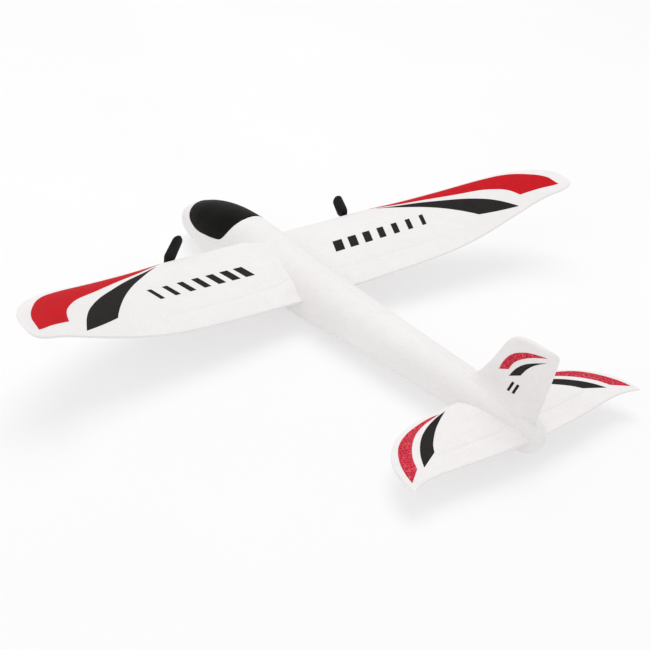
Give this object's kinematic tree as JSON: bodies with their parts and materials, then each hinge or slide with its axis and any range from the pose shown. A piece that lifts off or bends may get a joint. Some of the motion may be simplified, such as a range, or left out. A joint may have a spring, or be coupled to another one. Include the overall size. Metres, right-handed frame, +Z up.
{
  "type": "rc glider",
  "caption": "Foam radio-controlled glider with a propeller at the front of each wing, a lift-off black canopy hatch, a swept wing with raised tips, a low tail plane and a swept fin.",
  "frame": {"origin": "on the surface the belly rests on, under the middle of the model's length and span", "axes": "+Z up; nose toward -Y, tail toward +Y; the pilot's left wing toward +X"},
  "size_m": [0.475, 0.392, 0.079],
  "materials": {
    "epp_foam": "white bead foam, matte",
    "joiner_strip": "satin carbon strip",
    "canopy_shell": "matte black, fine grain",
    "magnet": "nickel plated",
    "battery_foil": "satin foil",
    "foam_pad": "matte",
    "battery_wire": "wire sleeve",
    "circuit_board": "solder mask",
    "chip_black": "matte",
    "led": "clear red",
    "wire_grey": "wire sleeve",
    "socket_white": "satin",
    "switch_metal": "tinned",
    "switch_black": "satin",
    "mount_black": "satin",
    "motor_steel": "satin",
    "cap_cream": "satin",
    "rotor_copper": "wound copper wire",
    "propeller_black": "satin",
    "wire_blue": "wire sleeve"
  },
  "bodies": {
    "airframe": {"fuselage_left": "epp_foam", "fuselage_right": "epp_foam", "wing_left": "epp_foam", "wing_right": "epp_foam", "wing_joiner": "joiner_strip", "stabilizer": "epp_foam", "fin": "epp_foam", "hatch_magnets": "magnet", "battery": "battery_foil", "battery_pad": "foam_pad", "battery_leads": "battery_wire", "receiver_board": "circuit_board", "receiver_chips": "chip_black", "status_led": "led", "antenna_wire": "wire_grey", "charge_socket": "socket_white", "switch_case": "switch_metal", "motor_mount_left": "mount_black", "motor_mount_right": "mount_black", "motor_can_left": "motor_steel", "motor_can_right": "motor_steel", "motor_cap_left": "cap_cream", "motor_cap_right": "cap_cream", "motor_leads_left": "wire_blue", "motor_leads_right": "wire_blue"},
    "canopy_hatch": {"canopy": "canopy_shell", "canopy_magnets": "magnet"},
    "power_switch": {"switch_slider": "switch_black"},
    "left_propeller": {"propeller_left": "propeller_black", "rotor_left": "rotor_copper"},
    "right_propeller": {"propeller_right": "propeller_black", "rotor_right": "rotor_copper"}
  },
  "joints": [
    {"name": "canopy_lift", "type": "slide", "parent": "airframe", "child": "canopy_hatch", "axis": [0, 0, 1], "range_m": [0, 0.06]},
    {"name": "switch_slide", "type": "slide", "parent": "airframe", "child": "power_switch", "axis": [0, 1, 0], "range_m": [0, 0.002]},
    {"name": "left_propeller_spin", "type": "hinge", "parent": "airframe", "child": "left_propeller", "pos_m": [0.0845, -0.0954, 0.0328], "axis": [0, -1, 0], "continuous": true},
    {"name": "right_propeller_spin", "type": "hinge", "parent": "airframe", "child": "right_propeller", "pos_m": [-0.0845, -0.0954, 0.0328], "axis": [0, -1, 0], "continuous": true}
  ]
}
